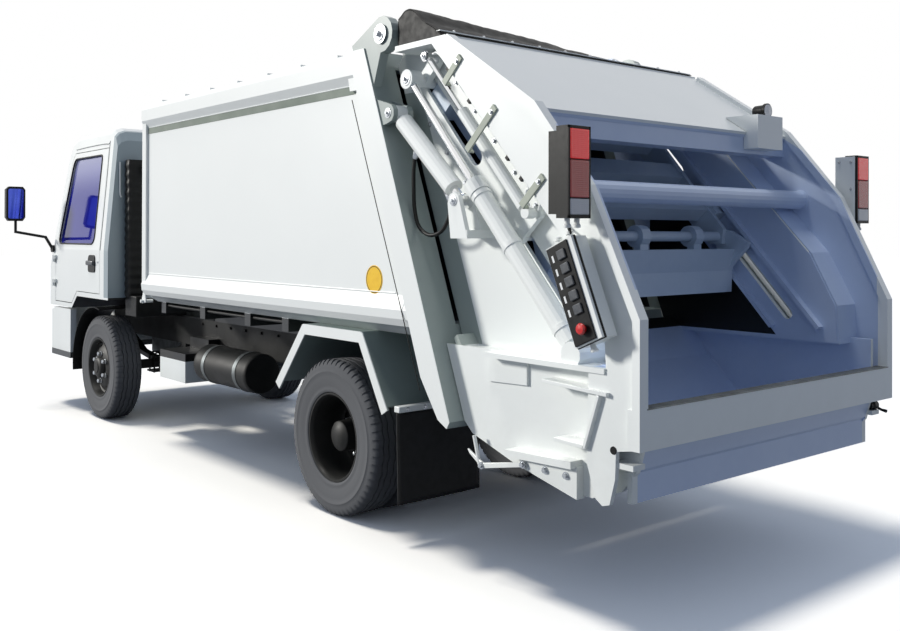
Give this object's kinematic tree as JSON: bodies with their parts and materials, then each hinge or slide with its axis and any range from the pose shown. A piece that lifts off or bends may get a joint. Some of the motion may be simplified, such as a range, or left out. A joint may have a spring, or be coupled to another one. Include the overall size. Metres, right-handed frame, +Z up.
{
  "type": "garbage truck",
  "caption": "Small cab-over rear-loading garbage truck: white container body, press-type lifting tailgate with open hopper, tilting cab, twin rear wheels.",
  "frame": {"origin": "on the ground, under the middle of the truck's box", "axes": "+X towards the cab (forward), +Y the truck's left, +Z up"},
  "size_m": [6.5, 2.44, 2.4407],
  "materials": {
    "white_paint": "gloss",
    "chassis_paint": "satin",
    "bare_steel": "matt",
    "tyre_rubber": "matt",
    "rubber_sheet": "matt",
    "window_glass": "clear, tinted blue",
    "black_plastic": "satin",
    "seat_cloth": "woven",
    "lamp_lens": "gloss",
    "hard_chrome": "polished"
  },
  "bodies": {
    "chassis": {"chassis_frame": "chassis_paint", "front_axle": "chassis_paint", "rear_axle": "chassis_paint", "engine_block": "bare_steel", "fuel_tank": "chassis_paint", "battery_box": "white_paint", "oil_tank": "chassis_paint", "silencer": "bare_steel", "bumper": "white_paint", "body_shell": "white_paint", "mudguard_L": "white_paint", "mudguard_R": "white_paint", "mudflap_L": "rubber_sheet", "mudflap_R": "rubber_sheet", "air_intake": "black_plastic"},
    "cab": {"cab_shell": "white_paint", "windscreen": "window_glass", "rear_window": "window_glass", "mirror_L": "black_plastic", "mirror_R": "black_plastic", "front_panel": "black_plastic", "dashboard": "black_plastic", "steering_wheel": "black_plastic", "seats": "seat_cloth"},
    "tailgate": {"tailgate_shell": "white_paint", "hinge_cover": "rubber_sheet", "tail_lamp_L": "lamp_lens", "tail_lamp_R": "lamp_lens", "switch_box": "black_plastic", "lamp_bracket": "white_paint", "slide_cylinder_L": "white_paint", "slide_cylinder_R": "white_paint"},
    "carriage": {"slider": "white_paint"},
    "press": {"press_plate": "white_paint"},
    "ejector": {"ejector_panel": "bare_steel"},
    "door_leaf_L": {"door_L": "white_paint", "door_glass_L": "window_glass"},
    "steer_L": {"knuckle_L": "chassis_paint"},
    "wheel_FL": {"tyre_FL": "tyre_rubber", "rim_FL": "chassis_paint"},
    "wheel_RL": {"tyre_RL_outer": "tyre_rubber", "tyre_RL_inner": "tyre_rubber", "rim_RL": "chassis_paint"},
    "lift_barrel_L": {"lift_barrel_L": "white_paint"},
    "lift_rod_L": {"lift_rod_L": "hard_chrome"},
    "press_barrel_L": {"press_barrel_L": "white_paint"},
    "press_rod_L": {"press_rod_L": "hard_chrome"},
    "door_leaf_R": {"door_R": "white_paint", "door_glass_R": "window_glass"},
    "steer_R": {"knuckle_R": "chassis_paint"},
    "wheel_FR": {"tyre_FR": "tyre_rubber", "rim_FR": "chassis_paint"},
    "wheel_RR": {"tyre_RR_outer": "tyre_rubber", "tyre_RR_inner": "tyre_rubber", "rim_RR": "chassis_paint"},
    "lift_barrel_R": {"lift_barrel_R": "white_paint"},
    "lift_rod_R": {"lift_rod_R": "hard_chrome"},
    "press_barrel_R": {"press_barrel_R": "white_paint"},
    "press_rod_R": {"press_rod_R": "hard_chrome"}
  },
  "joints": [
    {"name": "cab_tilt", "type": "hinge", "parent": "chassis", "child": "cab", "pos_m": [3.15, 0, 0.85], "axis": [0, 1, 0], "range_deg": [0, 45]},
    {"name": "door_swing_L", "type": "hinge", "parent": "cab", "child": "door_leaf_L", "pos_m": [3.02, 0.875, 1.3], "axis": [0, 0, -1], "range_deg": [0, 70]},
    {"name": "steer_L", "type": "hinge", "parent": "chassis", "child": "steer_L", "pos_m": [2.15, 0.635, 0.395], "axis": [0, 0, 1], "range_deg": [-35, 35]},
    {"name": "spin_FL", "type": "hinge", "parent": "steer_L", "child": "wheel_FL", "pos_m": [2.15, 0.7145, 0.395], "axis": [0, 1, 0], "continuous": true},
    {"name": "spin_RL", "type": "hinge", "parent": "chassis", "child": "wheel_RL", "pos_m": [-1.2, 0.62, 0.395], "axis": [0, 1, 0], "continuous": true},
    {"name": "door_swing_R", "type": "hinge", "parent": "cab", "child": "door_leaf_R", "pos_m": [3.02, -0.875, 1.3], "axis": [0, 0, 1], "range_deg": [0, 70]},
    {"name": "steer_R", "type": "hinge", "parent": "chassis", "child": "steer_R", "pos_m": [2.15, -0.635, 0.395], "axis": [0, 0, 1], "range_deg": [-35, 35]},
    {"name": "spin_FR", "type": "hinge", "parent": "steer_R", "child": "wheel_FR", "pos_m": [2.15, -0.7145, 0.395], "axis": [0, 1, 0], "continuous": true},
    {"name": "spin_RR", "type": "hinge", "parent": "chassis", "child": "wheel_RR", "pos_m": [-1.2, -0.62, 0.395], "axis": [0, 1, 0], "continuous": true},
    {"name": "tailgate_lift", "type": "hinge", "parent": "chassis", "child": "tailgate", "pos_m": [-1.711, 0, 2.357], "axis": [0, 1, 0], "range_deg": [0, 80]},
    {"name": "lift_swing_L", "type": "hinge", "parent": "chassis", "child": "lift_barrel_L", "pos_m": [-1.765, 0.835, 1.985], "axis": [0, 1, 0], "range_deg": [0, 85]},
    {"name": "lift_extend_L", "type": "slide", "parent": "lift_barrel_L", "child": "lift_rod_L", "axis": [-0.7496, 0, -0.6619], "range_m": [0, 0.485]},
    {"name": "lift_swing_R", "type": "hinge", "parent": "chassis", "child": "lift_barrel_R", "pos_m": [-1.765, -0.835, 1.985], "axis": [0, 1, 0], "range_deg": [0, 85]},
    {"name": "lift_extend_R", "type": "slide", "parent": "lift_barrel_R", "child": "lift_rod_R", "axis": [-0.7496, 0, -0.6619], "range_m": [0, 0.485]},
    {"name": "carriage_slide", "type": "slide", "parent": "tailgate", "child": "carriage", "axis": [-0.6715, 0, -0.741], "range_m": [0, 0.5]},
    {"name": "press_swing", "type": "hinge", "parent": "carriage", "child": "press", "pos_m": [-2.5, 0, 1.42], "axis": [0, 1, 0], "range_deg": [0, 55]},
    {"name": "press_rod_swing_L", "type": "hinge", "parent": "carriage", "child": "press_rod_L", "pos_m": [-1.95574, 0.81, 2.22901], "axis": [0, 1, 0], "range_deg": [-4.5, 0]},
    {"name": "press_barrel_slide_L", "type": "slide", "parent": "press_rod_L", "child": "press_barrel_L", "axis": [-0.6715, 0, -0.741], "range_m": [-0.115, 0]},
    {"name": "press_rod_swing_R", "type": "hinge", "parent": "carriage", "child": "press_rod_R", "pos_m": [-1.95574, -0.81, 2.22901], "axis": [0, 1, 0], "range_deg": [-4.5, 0]},
    {"name": "press_barrel_slide_R", "type": "slide", "parent": "press_rod_R", "child": "press_barrel_R", "axis": [-0.6715, 0, -0.741], "range_m": [-0.115, 0]},
    {"name": "ejector_slide", "type": "slide", "parent": "chassis", "child": "ejector", "axis": [-1, 0, 0], "range_m": [0, 2.1]}
  ],
  "couplings": [
    {"joint": "steer_R", "follows": "steer_L", "ratio": 1},
    {"joint": "lift_swing_L", "follows": "tailgate_lift", "ratio": 1.0528},
    {"joint": "lift_extend_L", "follows": "tailgate_lift", "m_per_rad": 0.3433},
    {"joint": "press_rod_swing_L", "follows": "press_swing", "ratio": -0.073},
    {"joint": "press_barrel_slide_L", "follows": "press_swing", "m_per_rad": -0.1173},
    {"joint": "lift_swing_R", "follows": "tailgate_lift", "ratio": 1.0528},
    {"joint": "lift_extend_R", "follows": "tailgate_lift", "m_per_rad": 0.3433},
    {"joint": "press_rod_swing_R", "follows": "press_swing", "ratio": -0.073},
    {"joint": "press_barrel_slide_R", "follows": "press_swing", "m_per_rad": -0.1173}
  ]
}
